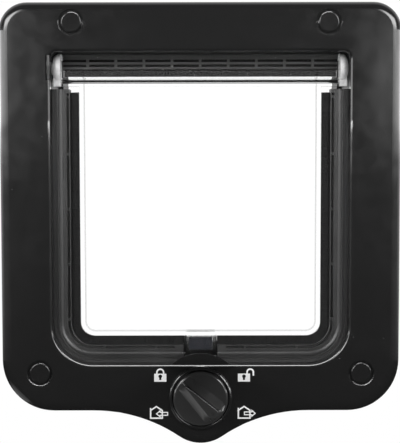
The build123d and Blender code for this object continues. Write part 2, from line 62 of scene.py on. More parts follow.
# %% [markdown]
# ## Writing node trees as sums
#
# Finishes and growing rules are node trees. Clicking nodes together is quick by hand, but in a script a sum
# such as `1 - mask * 0.4` is easier to read than two nodes and their links. The class `Term` stands for one
# number socket and turns each operator into a Math node. Every other node comes from the one method
# `Recipe.node`, which sets the node's choices first and its sockets after them.


# %% A socket that can be used in a sum
class Term:
    """An output socket. Adding, subtracting, multiplying or dividing it makes a Math node."""

    def __init__(self, recipe, socket):
        self.recipe = recipe
        self.socket = socket

    def sum_node(self, operation, first, second):
        return self.recipe.node("ShaderNodeMath", {"operation": operation}, {0: first, 1: second})

    def __add__(self, other):
        return self.sum_node("ADD", self, other)

    def __radd__(self, other):
        return self.sum_node("ADD", other, self)

    def __sub__(self, other):
        return self.sum_node("SUBTRACT", self, other)

    def __rsub__(self, other):
        return self.sum_node("SUBTRACT", other, self)

    def __mul__(self, other):
        return self.sum_node("MULTIPLY", self, other)

    def __rmul__(self, other):
        return self.sum_node("MULTIPLY", other, self)

    def __truediv__(self, other):
        return self.sum_node("DIVIDE", self, other)

    def __rtruediv__(self, other):
        return self.sum_node("DIVIDE", other, self)

    def __abs__(self):
        return self.recipe.node("ShaderNodeMath", {"operation": "ABSOLUTE"}, {0: self})

    def at_most(self, other):
        return self.sum_node("MINIMUM", self, other)

    def at_least(self, other):
        return self.sum_node("MAXIMUM", self, other)


# %% A tree that is written one node at a time
class Recipe:
    """A shader or geometry tree. Each node is one call: its kind, its choices, then its sockets."""

    def __init__(self, tree):
        self.tree = tree
        self.tree.nodes.clear()

    def node(self, kind, choices=None, sockets=None, out=0):
        """One node, with a list where several links go into one socket. Returns the output asked for."""
        made = self.tree.nodes.new(kind)
        for name, value in (choices or {}).items():
            setattr(made, name, value)
        for key, value in (sockets or {}).items():
            terms = value if isinstance(value, list) else [value]
            for term in terms:
                if isinstance(term, Term):
                    self.tree.links.new(term.socket, made.inputs[key])
                else:
                    made.inputs[key].default_value = term
        return Term(self, made.outputs[out]) if made.outputs else None

    def also(self, term, name):
        """Another output of the node that a term came from."""
        return Term(self, term.socket.node.outputs[name])

    def place(self):
        """Where a point is on the object, in metres from the shared origin."""
        return self.node("ShaderNodeTexCoord", out="Object")

    def parts(self, vector):
        """The three numbers of a vector."""
        x = self.node("ShaderNodeSeparateXYZ", None, {0: vector}, out="X")
        return x, self.also(x, "Y"), self.also(x, "Z")

    def vector(self, **parts):
        """A vector from its numbers X, Y and Z. Those left out are nought."""
        return self.node("ShaderNodeCombineXYZ", None, parts)

    def blend_colours(self, share, first, second):
        return self.node("ShaderNodeMix", {"data_type": "RGBA"}, {0: share, 6: first, 7: second}, out=2)

    def step(self, value, start, end, low=0.0, high=1.0):
        """A soft ramp that goes from low to high while the value goes from start to end."""
        return self.node("ShaderNodeMapRange", {"interpolation_type": "SMOOTHSTEP"},
                         {"Value": value, "From Min": start, "From Max": end, "To Min": low, "To Max": high})


trial = Recipe(bpy.data.node_groups.new("trial", "ShaderNodeTree"))
mask = trial.node("ShaderNodeValue")
faded = 1.0 - mask * 0.4
print("1 - mask * 0.4 ends in", faded.socket.node.operation, "and has", len(trial.tree.nodes), "nodes")
bpy.data.node_groups.remove(trial.tree)

# %% [markdown]
# ## Finishes
#
# Each finish starts from the Principled shader. What is the same all over is typed into the shader, and only
# what changes over the surface, such as a faint waviness or dust, comes through nodes. Everything reads
# Object coordinates: all pieces share one origin, so one metre is one metre on each of them, and a pattern's
# scale says how often it repeats in a metre.


# %% The start and the end of every finish
def grey(level):
    return (level, level, level, 1.0)


def new_finish(name):
    """A material with an empty tree, and the recipe for that tree."""
    material = bpy.data.materials.new(name)
    material.use_nodes = True
    return material, Recipe(material.node_tree)


def principled(recipe, sockets):
    return recipe.node("ShaderNodeBsdfPrincipled", None, sockets)


def close_finish(recipe, shader):
    recipe.node("ShaderNodeOutputMaterial", None, {"Surface": shader})


def noise(recipe, place, scale, detail=2.0, roughness=0.5):
    return recipe.node("ShaderNodeTexNoise", None,
                       {"Vector": place, "Scale": scale, "Detail": detail, "Roughness": roughness})


def spread(recipe, pattern, low, high):
    """A noise, which mostly stays between 0.3 and 0.7, spread over a range of values."""
    return recipe.step(pattern, 0.3, 0.7, low, high)


def bump(recipe, height, distance):
    return recipe.node("ShaderNodeBump", None, {"Height": height, "Distance": distance, "Strength": 1.0})


print("slots that wait for a finish:", sum(len(solid.material_slots) for solid in nodes.values()))

# %% [markdown]
# ### Polished black moulding
#
# The frame, the knob and the screw caps are black plastic from a polished mould. Such a face is never a
# perfect mirror: it sinks and swells a little where ribs stand behind it, so reflections swim, and a few
# specks of dust lie on it. A slow noise tilts the reflections, a faster one changes the polish, and a
# thresholded cell pattern makes the specks. The tunnel's walls slide along the mould when it opens, so they
# are left satin there: a mask built from the distance to the passage's middle and the depth finds them.

# %% Polished black moulding
PASSAGE_HALF = -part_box("seal_holder_left")[0].x
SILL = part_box("seal_holder_left")[0].z
TUNNEL_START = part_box("seal_holder_left")[0].y
TUNNEL_BLEND = 1.5 * MM
TUNNEL_ROUGHNESS = 0.6
WALL_SHARE = 1.004
PLATE_SHARE = 1.012
PLASTIC_IOR = 1.5
SWELL_DEPTH = 0.5 * MM
DUST_TONE = 0.045
DUST_ROUGHNESS = 0.3


def in_tunnel(recipe, place):
    """One on the walls of the tunnel behind the seal holders' front, nought elsewhere."""
    x, y, z = recipe.parts(place)
    aside = (abs(x) / PASSAGE_HALF).at_least(abs(z) / -SILL)
    within = recipe.step(aside, PLATE_SHARE, WALL_SHARE)
    return within * recipe.step(y, TUNNEL_START - TUNNEL_BLEND, TUNNEL_START)


def polished_black(name, tone, smooth, rough):
    material, recipe = new_finish(name)
    place = recipe.place()
    swell = noise(recipe, place, scale=22.0)
    polish = noise(recipe, place, scale=140.0, detail=4.0)
    cells = recipe.node("ShaderNodeTexVoronoi", None, {"Vector": place, "Scale": 75.0}, out="Distance")
    dust = recipe.step(cells, 0.03, 0.015)
    tunnel = in_tunnel(recipe, place)
    gloss = spread(recipe, polish, smooth, rough) + dust * DUST_ROUGHNESS
    close_finish(recipe, principled(recipe, {
        "IOR": PLASTIC_IOR,
        "Base Color": recipe.blend_colours(dust, grey(tone), grey(DUST_TONE)),
        "Roughness": gloss * (1.0 - tunnel) + tunnel * TUNNEL_ROUGHNESS,
        "Normal": bump(recipe, swell, SWELL_DEPTH)}))
    return material


print("satin tunnel of", round(2 * PASSAGE_HALF / MM, 1), "mm starts at y", round(TUNNEL_START / MM, 1), "mm")

# %% [markdown]
# ### Satin black moulding
#
# The seal holders and the keeper come from a mould with a fine eroded surface. It is the same
# plastic with a broader gloss, so the roughness is higher and a fine grain breaks it up. The floors of the
# top bar's slots get no light, so a mask on their depth paints them darker, as painted shade, and makes them
# duller. The bar's face, which the flap's barrel covers, is painted a paler grey: painted light for the
# light that reaches it through the barrel.

# %% Satin black moulding
BAR_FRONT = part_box("seal_holder_top")[0].y
BAR_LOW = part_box("seal_holder_top")[0].z
# Painted light: the bar's face is coloured paler than the same plastic elsewhere, for light that reaches it
# through the barrel.
BAR_LIGHT_TONE = 0.085
# Painted shade: the slot floors are coloured near black because they get no light.
SLOT_SHADE_TONE = 0.003
SLOT_ROUGHNESS = 0.9
GRAIN_DEPTH = 0.03 * MM


def satin_black():
    material, recipe = new_finish("satin_black")
    place = recipe.place()
    grain = noise(recipe, place, scale=2600.0, detail=3.0)
    cloud = noise(recipe, place, scale=60.0, detail=3.0)
    x, y, z = recipe.parts(place)
    in_bar = recipe.step(z, BAR_LOW, BAR_LOW + MM)
    # Painted shade: a mask on the depth of the slot floors, which are coloured darker and made duller.
    slot_shade = in_bar * recipe.step(y, BAR_FRONT + 0.1 * MM, BAR_FRONT + 0.4 * MM)
    moulded = recipe.blend_colours(cloud, grey(0.017), grey(0.025))
    # Painted light: the bar's face takes the paler tone.
    with_bar_light = recipe.blend_colours(in_bar, moulded, grey(BAR_LIGHT_TONE))
    satin = spread(recipe, cloud, low=0.34, high=0.42)
    close_finish(recipe, principled(recipe, {
        "IOR": PLASTIC_IOR,
        "Base Color": recipe.blend_colours(slot_shade, with_bar_light, grey(SLOT_SHADE_TONE)),
        "Roughness": satin * (1.0 - slot_shade) + slot_shade * SLOT_ROUGHNESS,
        "Normal": bump(recipe, grain, GRAIN_DEPTH)}))
    return material


print("top bar: face at y", round(BAR_FRONT / MM, 1), "mm, foot at z", round(BAR_LOW / MM, 1), "mm")

# %% [markdown]
# ### Clear flap plastic
#
# The flap is moulded in one piece from a clear plastic. Light goes straight through the flat panel, so it can
# hardly be seen; it shows by its rims and by the hinge barrel, which bend what lies behind. That
# comes from real refraction, so the flap needs the true index and a smooth surface, with faint scuffs.
# The barrel's thick ends rub in their pockets and look frosted, so a white matt shader is mixed in there. Its
# wall is thin between them and hardly bends the light, so there most of it is simply transparent, and so are
# the thin walls round the magnet in the lug. The step inside the rim bends the light and shows as a fine grey
# line, which is painted shade: a grey tint along a rounded rectangle.
# Blender lets no lamp light through a refracting face, so for shadow rays the plastic turns transparent.

# %% Clear flap plastic
CLEAR_IOR = 1.49
END_START = 70.7 * MM
END_BLEND = 0.4 * MM
FROST_TONE = 0.95
RIM_HALF = 59.2 * MM
RIM_LOW = -63.2 * MM
RIM_CORNER = 5.0 * MM
# Painted shade: how grey the tint along the rim's step is.
RIM_SHADE_TINT = 0.74
BARREL_FROM = 69.6 * MM
BARREL_CLEAR = 0.95
LUG_FROM = -66.0 * MM
LUG_CLEAR = 0.5


# Painted shade: the mask of the grey line along the rim's step.
def painted_rim_shade(recipe, place):
    """One along the step inside the flap's thicker rim: the edge of a rectangle with round lower corners."""
    x, y, z = recipe.parts(place)
    aside = (abs(x) - (RIM_HALF - RIM_CORNER)).at_least(0.0)
    below = (RIM_LOW + RIM_CORNER - z).at_least(0.0)
    reach = recipe.node("ShaderNodeMath", {"operation": "SQRT"}, {0: aside * aside + below * below})
    return recipe.step(abs(reach - RIM_CORNER), 0.5 * MM, 0.2 * MM)


def clear_plastic():
    material, recipe = new_finish("clear_plastic")
    place = recipe.place()
    scuffs = noise(recipe, place, scale=320.0, detail=5.0, roughness=0.65)
    clear = recipe.blend_colours(scuffs, (0.985, 0.996, 0.993, 1.0), (0.998, 1.0, 1.0, 1.0))
    glass = principled(recipe, {
        "Transmission Weight": 1.0,
        "IOR": CLEAR_IOR,
        # Painted shade: the base colour turns grey along the rim's step.
        "Base Color": recipe.blend_colours(painted_rim_shade(recipe, place), clear, grey(RIM_SHADE_TINT)),
        "Roughness": recipe.step(scuffs, 0.6, 0.85, 0.0, 0.02)})
    x, y, z = recipe.parts(place)
    ends = recipe.step(abs(x), END_START, END_START + END_BLEND)
    frosted = ends * recipe.step(scuffs, 0.2, 0.6, 0.55, 0.85)
    frost = recipe.node("ShaderNodeBsdfDiffuse", None, {"Color": grey(FROST_TONE)})
    solid = recipe.node("ShaderNodeMixShader", None, {0: frosted, 1: glass, 2: frost})
    barrel = recipe.step(z, BARREL_FROM, BARREL_FROM + MM, 0.0, BARREL_CLEAR)
    lug = recipe.step(z, LUG_FROM, LUG_FROM - MM, 0.0, LUG_CLEAR)
    thin = (barrel + lug) * (1.0 - ends)
    shadow = recipe.node("ShaderNodeLightPath", out="Is Shadow Ray")
    open_way = thin.at_least(shadow * (1.0 - frosted))
    nothing = recipe.node("ShaderNodeBsdfTransparent")
    close_finish(recipe, recipe.node("ShaderNodeMixShader", None, {0: open_way, 1: solid, 2: nothing}))
    return material


print("rim line", round(2 * RIM_HALF / MM, 1), "mm, frosted ends", round(2 * END_START / MM, 1), "mm apart")

# %% [markdown]
# ### Metals and ink
#
# The screws, the washer and the detent leaf are zinc-plated steel, the magnets have a dark nickel plate. Both
# are metals with a slightly uneven polish. The signs are printed with a matt white ink.


# %% Metals and ink
def plated_metal(name, dark, bright, smooth, rough):
    material, recipe = new_finish(name)
    place = recipe.place()
    cloud = noise(recipe, place, scale=420.0, detail=4.0)
    close_finish(recipe, principled(recipe, {
        "Metallic": 1.0,
        "Base Color": recipe.blend_colours(cloud, dark, bright),
        "Roughness": spread(recipe, cloud, smooth, rough)}))
    return material


def white_ink():
    material, recipe = new_finish("white_ink")
    place = recipe.place()
    film = noise(recipe, place, scale=3000.0)
    close_finish(recipe, principled(recipe, {
        "IOR": 1.45,
        "Base Color": recipe.blend_colours(film, grey(0.86), grey(0.93)),
        "Roughness": spread(recipe, film, low=0.45, high=0.6)}))
    return material


zinc = plated_metal("zinc_plated_steel", dark=(0.42, 0.43, 0.45, 1.0), bright=(0.62, 0.63, 0.64, 1.0),
                    smooth=0.22, rough=0.36)
nickel = plated_metal("magnet_plate", dark=(0.024, 0.025, 0.031, 1.0), bright=(0.032, 0.033, 0.04, 1.0),
                      smooth=0.3, rough=0.4)
sign_ink = white_ink()
print("made:", zinc.name, nickel.name, sign_ink.name)

# %% [markdown]
# ### Pile
#
# The seal is a strip of black pile. Each fibre gets its own tone when it is grown, as an attribute on
# its points, and the finish reads that attribute. So no two fibres look quite the same. Pile swallows most
# light between its fibres, so it mirrors less than the mouldings do.


# %% Pile finish
def pile_finish(name, dark, bright):
    material, recipe = new_finish(name)
    place = recipe.place()
    tone = recipe.node("ShaderNodeAttribute", {"attribute_name": "tone"}, out="Fac")
    mottle = noise(recipe, place, scale=900.0, detail=3.0)
    close_finish(recipe, principled(recipe, {
        "IOR": PLASTIC_IOR,
        "Specular IOR Level": 0.2,
        "Base Color": recipe.blend_colours(tone * 0.7 + mottle * 0.3, grey(dark), grey(bright)),
        "Roughness": recipe.step(tone, 0.0, 1.0, 0.55, 0.8)}))
    return material


strip_pile = pile_finish("black_pile", dark=0.005, bright=0.018)
# Painted light: the tuft stands in the shade behind the lug, so its black pile is coloured lighter than the
# strips'.
lit_tuft_pile = pile_finish("painted_light_tuft", dark=0.05, bright=0.08)
print("made:", strip_pile.name, lit_tuft_pile.name)

# %% [markdown]
# ### Every solid gets its finish
#
# The solids come with slots that are named for what each is made of, so one table gives them their finishes.
# The lock's two discs are polished like the frame. Fingers have dulled the knob, so its polish is rougher,
# and its black is coloured lighter than the frame's as painted light.

# %% Give every solid its finish
FINISHES = {
    "black_gloss": polished_black("polished_black", tone=0.0135, smooth=0.10, rough=0.15),
    "black_satin": satin_black(),
    "clear_plastic": clear_plastic(),
    "black_pile": strip_pile,
    "bright_steel": zinc,
    "magnet_nickel": nickel,
}
for solid in nodes.values():
    for slot in solid.material_slots:
        slot.material = FINISHES[slot.material.name.split(".")[0]]
for name in ("front_cam", "rear_cam"):
    nodes[name].material_slots[0].material = FINISHES["black_gloss"]
# Painted light: the knob is a lighter copy of the frame's black. Its rougher polish is the dulling by
# fingers.
knob_black_painted_light = polished_black("knob_black_painted_light", tone=0.03, smooth=0.13, rough=0.18)
nodes["lock_knob"].material_slots[0].material = knob_black_painted_light
print("finishes:", sorted(material.name for material in FINISHES.values()))

# %% [markdown]
# ## Helpers for meshes
#
# A growing rule is a Geometry Nodes tree on a throwaway object. Once it has run, the result is copied into a
# plain mesh, because instances and modifiers do not travel with an exported model.


# %% Run a growing rule and keep a plain mesh
def new_piece(name, mesh):
    piece = bpy.data.objects.new(name, mesh)
    bpy.context.scene.collection.objects.link(piece)
    return piece


def run_rule(name, start, tree, values):
    """Runs a geometry tree on a start object and returns a piece with the finished mesh."""
    bpy.context.scene.collection.objects.link(start)
    rule = start.modifiers.new("rule", "NODES")
    rule.node_group = tree
    for item in tree.interface.items_tree:
        if item.in_out == "INPUT" and item.name in values:
            rule[item.identifier] = values[item.name]
    evaluated = start.evaluated_get(bpy.context.evaluated_depsgraph_get())
    mesh = bpy.data.meshes.new_from_object(evaluated)
    start.modifiers.clear()
    bpy.data.objects.remove(start)
    mesh.name = name
    return new_piece(name, mesh)


def poly_curve(name, points):
    """An open curve through points, for a rule to follow."""
    curve = bpy.data.curves.new(name, "CURVE")
    curve.dimensions = "3D"
    line = curve.splines.new("POLY")
    line.points.add(len(points) - 1)
    for point, where in zip(line.points, points):
        point.co = (*where, 1.0)
    return bpy.data.objects.new(name, curve)


def triangles(piece):
    return sum(len(face.vertices) - 2 for face in piece.data.polygons)


print("the solids have", sum(triangles(solid) for solid in nodes.values()), "triangles")

# %% [markdown]
# ## The pile of the seal
#
# A pile strip has thousands of fibres that stand off a woven backing. Modelling one and copying it by hand
# would take for ever, and a particle system would not survive an export. Geometry Nodes walk along the
# strip's root line, set several rows of points side by side, and stand a three-sided fibre on each point,
# leaning a little.

# %% An empty rule, and sums of vectors
NUMBER = "NodeSocketFloat"


def new_rule(name, inputs):
    """An empty geometry tree with a geometry socket in and out and named inputs."""
    tree = bpy.data.node_groups.new(name, "GeometryNodeTree")
    tree.interface.new_socket("Geometry", in_out="INPUT", socket_type="NodeSocketGeometry")
    for label, kind in inputs.items():
        tree.interface.new_socket(label, in_out="INPUT", socket_type=kind)
    tree.interface.new_socket("Geometry", in_out="OUTPUT", socket_type="NodeSocketGeometry")
    recipe = Recipe(tree)
    first = recipe.node("NodeGroupInput")
    return tree, recipe, {label: recipe.also(first, label) for label in ("Geometry", *inputs)}


def close_rule(recipe, placed, finish):
    done = recipe.node("GeometryNodeSetMaterial", None, {"Geometry": placed, "Material": finish})
    recipe.node("NodeGroupOutput", None, {0: done})


def random_number(recipe, low, high, seed):
    return recipe.node("FunctionNodeRandomValue", {"data_type": "FLOAT"},
                       {2: low, 3: high, "Seed": seed}, out=1)


def scaled(recipe, vector, share):
    return recipe.node("ShaderNodeVectorMath", {"operation": "SCALE"}, {0: vector, "Scale": share})


def combined(recipe, operation, first, second):
    return recipe.node("ShaderNodeVectorMath", {"operation": operation}, {0: first, 1: second})


print("a rule's sizes come in through sockets of the kind", NUMBER)


# %% A rule that grows pile along a line
def rows_of_points(recipe, given):
    """Points in rows beside the line, the way along it and each point's share of the way across."""
    points = recipe.node("GeometryNodeCurveToPoints", {"mode": "LENGTH"},
                         {"Curve": given["Geometry"], "Length": given["Spacing"]})
    along = recipe.also(points, "Tangent")
    rows = recipe.node("GeometryNodeDuplicateElements", {"domain": "POINT"},
                       {"Geometry": points, "Amount": given["Rows"]})
    row = recipe.also(rows, "Duplicate Index")
    across = (row + random_number(recipe, 0.0, 1.0, given["Seed"])) / given["Rows"] - 0.5
    drift = scaled(recipe, along, random_number(recipe, -0.5, 0.5, given["Seed"] + 1) * given["Spacing"])
    offset = combined(recipe, "ADD", drift, recipe.vector(Y=across * given["Thickness"]))
    return recipe.node("GeometryNodeSetPosition", None, {"Geometry": rows, "Offset": offset}), along, across


def fibre(recipe, given):
    """One fibre along Z. The attribute reach says how far up it a point is."""
    cone = recipe.node("GeometryNodeMeshCone", {"fill_type": "NONE"}, {
        "Vertices": 3, "Side Segments": 2, "Radius Top": given["Radius"] * 0.5,
        "Radius Bottom": given["Radius"], "Depth": given["Length"]})
    x, y, height = recipe.parts(recipe.node("GeometryNodeInputPosition"))
    return recipe.node("GeometryNodeStoreNamedAttribute", {"data_type": "FLOAT", "domain": "POINT"},
                       {"Geometry": cone, "Name": "reach", "Value": height / given["Length"]})


def waved(recipe, given, fibres):
    """The fibres pushed about by a noise, most at their tips."""
    reach = recipe.node("GeometryNodeInputNamedAttribute", {"data_type": "FLOAT"}, {"Name": "reach"})
    eddy = recipe.node("ShaderNodeTexNoise", None, {"Scale": 420.0, "Detail": 1.0}, out="Color")
    centred = combined(recipe, "SUBTRACT", eddy, (0.5, 0.5, 0.5))
    return recipe.node("GeometryNodeSetPosition", None,
                       {"Geometry": fibres, "Offset": scaled(recipe, centred, reach * given["Wave"])})


def pile_rule():
    """Fibres that point to the left of the way along the line, as seen from the room."""
    tree, recipe, given = new_rule("pile", {
        "Length": NUMBER, "Radius": NUMBER, "Spacing": NUMBER, "Rows": "NodeSocketInt", "Thickness": NUMBER,
        "Lean": NUMBER, "Wave": NUMBER, "Seed": "NodeSocketInt", "Finish": "NodeSocketMaterial"})
    points, along, across = rows_of_points(recipe, given)
    inward = combined(recipe, "CROSS_PRODUCT", along, (0.0, 1.0, 0.0))
    tilt = scaled(recipe, along, random_number(recipe, -1.0, 1.0, given["Seed"] + 2) * given["Lean"])
    flare = recipe.vector(Y=across * given["Lean"])
    aim = combined(recipe, "ADD", combined(recipe, "ADD", inward, tilt), flare)
    turn = recipe.node("FunctionNodeAlignRotationToVector", {"axis": "Z"}, {"Vector": aim})
    size = recipe.vector(X=1.0, Y=1.0, Z=random_number(recipe, 0.94, 1.0, given["Seed"] + 3))
    stood = recipe.node("GeometryNodeInstanceOnPoints", None, {
        "Points": points, "Instance": fibre(recipe, given), "Rotation": turn, "Scale": size})
    toned = recipe.node("GeometryNodeStoreNamedAttribute", {"data_type": "FLOAT", "domain": "INSTANCE"}, {
        "Geometry": stood, "Name": "tone", "Value": random_number(recipe, 0.0, 1.0, given["Seed"] + 4)})
    real = recipe.node("GeometryNodeRealizeInstances", None, {"Geometry": toned})
    close_rule(recipe, waved(recipe, given, real), given["Finish"])
    return tree


PILE = pile_rule()
print("pile rule has", len(PILE.nodes), "nodes")

# %% [markdown]
# The root lines follow the passage: down one side, round a corner and along the sill to the gap where
# the flap's lug hangs. Only a few sizes are needed, and the solids that carry the pile give them.
# The plain strips stay inside as the dense heart of the pile, so no light leaks through it. A tuft on the
# sill behind the lock stands where the lug interrupts the strips; the lug pushes through it when the flap
# opens.

# %% Root lines of the three strips and the tuft
WALL_CORNER = 20.5 * MM
ROOT_DEPTH = 9.2 * MM
CORNER_STEPS = 24
TUFT_BEHIND_CAM = 1.0 * MM
left_low, left_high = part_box("brush_left")
top_low, top_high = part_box("brush_top")
left_y = (left_low.y + left_high.y) / 2
top_y = (top_low.y + top_high.y) / 2
top_root_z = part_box("seal_holder_top")[0].z
tuft_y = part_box("rear_cam")[1].y + TUFT_BEHIND_CAM


def seal_line(depth, top, gap_edge):
    """Points down the left side, round the corner and along the sill, a given depth in from the wall."""
    side = -PASSAGE_HALF + depth
    floor = SILL + depth
    radius = WALL_CORNER - depth
    points = [Vector((side, left_y, top))]
    for step in range(CORNER_STEPS + 1):
        angle = math.pi + math.pi / 2 * step / CORNER_STEPS
        points.append(Vector((side + radius + radius * math.cos(angle), left_y,
                              floor + radius + radius * math.sin(angle))))
    points.append(Vector((gap_edge, left_y, floor)))
    return points


def mirrored(points):
    """The same line on the right side, walked the other way so that its pile still points inward."""
    return [Vector((-point.x, point.y, point.z)) for point in reversed(points)]


left_root = seal_line(ROOT_DEPTH, left_high.z, left_high.x)
top_root = [Vector((top_high.x, top_y, top_root_z)), Vector((top_low.x, top_y, top_root_z))]
tuft_root = [Vector((left_high.x, tuft_y, SILL)), Vector((-left_high.x, tuft_y, SILL))]
root_length = sum((after - before).length for before, after in zip(left_root, left_root[1:]))
print("root line of a side strip:", round(root_length / MM, 1), "mm")

# %% Grow the pile
SIDE_REACH = 4.4 * MM
TOP_REACH = 4.5 * MM
TUFT_REACH = 12.7 * MM
PILE_SIZES = {"Radius": 0.09 * MM, "Spacing": 0.3 * MM, "Rows": 9, "Thickness": 2.2 * MM, "Lean": 0.07,
              "Wave": 0.22 * MM, "Finish": strip_pile}


def pile_strip(name, root, length, seed, **changes):
    piece = run_rule(name, poly_curve(name + "_root", root), PILE,
                     {**PILE_SIZES, "Length": length, "Seed": seed, **changes})
    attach(piece, "frame")
    print(name, "has", triangles(piece), "triangles")
    return piece


pile_strip("pile_left", left_root, SIDE_REACH, seed=11)
pile_strip("pile_right", mirrored(left_root), SIDE_REACH, seed=23)
pile_top = pile_strip("pile_top", top_root, TOP_REACH, seed=37, Rows=12, Radius=0.14 * MM)
# The tuft takes the lighter pile, which is painted light.
pile_strip("pile_tuft", tuft_root, TUFT_REACH, seed=53, Thickness=0.8 * MM, Finish=lit_tuft_pile)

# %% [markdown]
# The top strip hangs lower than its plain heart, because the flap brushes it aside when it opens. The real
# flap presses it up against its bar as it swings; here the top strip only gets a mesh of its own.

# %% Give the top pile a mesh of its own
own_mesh(pile_top)

# %% [markdown]
# ## Screws
#
# Four long screws draw the two frames together through the door, and a short one holds the lock's discs on
# the knob. Their solids are plain rods. A thread is one ridge that winds round a core, so a rule sweeps a
# small square along a spiral, adds the core and a head with a cross for the driver, and sets one on each
# point.


# %% A rule that makes screws
def lifted(recipe, shape, height, turn=0.0):
    """A shape turned about X, then moved up along Z."""
    return recipe.node("GeometryNodeTransform", None, {
        "Geometry": shape, "Rotation": recipe.vector(X=turn), "Translation": recipe.vector(Z=height)})


def crossed_head(recipe, given):
    """A blunt cone below the seat, with two crossing slots cut into it."""
    dome = recipe.node("GeometryNodeMeshCone", None, {
        "Vertices": 32, "Radius Top": given["Head Radius"] * 0.66, "Radius Bottom": given["Head Radius"],
        "Depth": given["Head Height"]})
    wide = given["Head Radius"] * 1.1
    narrow = given["Head Radius"] * 0.26
    arms = [recipe.node("GeometryNodeMeshCube", None,
                        {"Size": recipe.vector(X=x, Y=y, Z=given["Head Height"])})
            for x, y in ((wide, narrow), (narrow, wide))]
    slots = [lifted(recipe, arm, given["Head Height"] * -1.0) for arm in arms]
    return recipe.node("GeometryNodeMeshBoolean", {"operation": "DIFFERENCE", "solver": "EXACT"},
                       {"Mesh 1": lifted(recipe, dome, 0.0, math.pi), "Mesh 2": slots})


def screw_rule():
    """Screws on points. Each points along its own Z from the seat under its head, then all turn about X."""
    tree, recipe, given = new_rule("screw", {
        "Radius": NUMBER, "Pitch": NUMBER, "Length": NUMBER, "Plain": NUMBER, "Head Radius": NUMBER,
        "Head Height": NUMBER, "Turn": NUMBER, "Finish": "NodeSocketMaterial"})
    ridge = given["Pitch"] * 0.36
    core = given["Radius"] - ridge
    threaded = given["Length"] - given["Plain"] - given["Pitch"]
    spiral = recipe.node("GeometryNodeCurveSpiral", None, {
        "Resolution": 20, "Rotations": threaded / given["Pitch"], "Start Radius": core, "End Radius": core,
        "Height": threaded})
    square = recipe.node("GeometryNodeCurvePrimitiveCircle", None, {"Resolution": 4, "Radius": ridge})
    thread = recipe.node("GeometryNodeCurveToMesh", None,
                         {"Curve": spiral, "Profile Curve": square, "Fill Caps": True})
    rod = recipe.node("GeometryNodeMeshCylinder", None,
                      {"Vertices": 24, "Radius": core, "Depth": given["Length"]})
    screw = recipe.node("GeometryNodeJoinGeometry", None, {0: [
        crossed_head(recipe, given), lifted(recipe, rod, given["Length"] * 0.5),
        lifted(recipe, thread, given["Plain"])]})
    placed = recipe.node("GeometryNodeInstanceOnPoints", None, {
        "Points": given["Geometry"], "Instance": lifted(recipe, screw, 0.0, given["Turn"])})
    real = recipe.node("GeometryNodeRealizeInstances", None, {"Geometry": placed})
    close_rule(recipe, real, given["Finish"])
    return tree


SCREW = screw_rule()
print("screw rule has", len(SCREW.nodes), "nodes")


# %% Set the screws in place
def set_screws(name, node, body, seats, turn, sizes):
    """Screws on their seats in place of a node's plain rods. Sizes are in millimetres."""
    start = bpy.data.meshes.new(name + "_seats")
    start.from_pydata(seats, [], [])
    values = {label: value * MM for label, value in sizes.items()}
    piece = run_rule(name, bpy.data.objects.new(name + "_seats", start), SCREW,
                     {**values, "Turn": turn, "Finish": zinc})
    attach(piece, body)
    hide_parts(node)
    print(name, "has", triangles(piece), "triangles on", len(seats), "seats")


UPPER_SCREW = (64.6, 93.9)
LOWER_SCREW = (82.0, -83.5)
HEAD_HEIGHT = 2.8
rods_low, rods_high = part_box("fixing_screws")
seat_y = rods_low.y + HEAD_HEIGHT * MM
seats = [(side * x * MM, seat_y, z * MM) for x, z in (UPPER_SCREW, LOWER_SCREW) for side in (-1, 1)]
set_screws("threaded_screws", "fixing_screws", "frame", seats, -math.pi / 2, {
    "Radius": 2.0, "Pitch": 0.7, "Length": (rods_high.y - seat_y) / MM, "Plain": 18.0, "Head Radius": 4.0,
    "Head Height": HEAD_HEIGHT})

KNOB_HEAD_HEIGHT = 1.8
rod_low, rod_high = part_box("knob_screw")
knob_seat_y = rod_high.y - KNOB_HEAD_HEIGHT * MM
knob_seat = (0.0, knob_seat_y, (rod_low.z + rod_high.z) / 2)
set_screws("threaded_knob_screw", "knob_screw", "lock", [knob_seat], math.pi / 2, {
    "Radius": 1.5, "Pitch": 0.5, "Length": (knob_seat_y - rod_low.y) / MM, "Plain": 2.0, "Head Radius": 2.8,
    "Head Height": KNOB_HEAD_HEIGHT})

# %% [markdown]
# ## Printed signs
#
# Four small signs beside the knob show its settings: a closed padlock, an open one, a house with an arrow in
# and a house with an arrow out. They are pad printed, so each is a very thin layer of ink. A flat curve is
# the easiest way to draw one: Blender fills the outer loop and leaves the inner loops open. A line drawing
# needs two loops, one on each side of the pen's path, and `pen` works them out by moving every corner along
# its bisector.


# %% Loops for a flat drawing, in millimetres
def arc(centre, radius, start, end, steps=14):
    """Points on an arc, with angles in degrees."""
    turns = [math.radians(start + (end - start) * step / steps) for step in range(steps + 1)]
    return [(centre[0] + radius * math.cos(turn), centre[1] + radius * math.sin(turn)) for turn in turns]


def box_loop(x0, x1, z0, z1):
    return [(x0, z0), (x1, z0), (x1, z1), (x0, z1)]


def moved_corner(before, corner, after, distance):
    """A corner of a closed path, moved to the path's left by a distance on both sides."""
    first = (Vector(corner) - Vector(before)).normalized()
    second = (Vector(after) - Vector(corner)).normalized()
    left = Vector((-first.y, first.x)) + Vector((-second.y, second.x))
    return Vector(corner) + left * (2.0 * distance / left.length_squared)


def pen(path, width):
    """The two loops of a line of a given width along a closed path."""
    around = list(zip([path[-1], *path[:-1]], path, [*path[1:], path[0]]))
    return [[moved_corner(*corner, side * width / 2) for corner in around] for side in (-1, 1)]


print("points of a pen line round a square:", [len(loop) for loop in pen(box_loop(0, 1, 0, 1), 0.1)])

# %% A layer of ink on the frame's face
PLATE_FRONT = -22.0 * MM
INK = 0.03 * MM


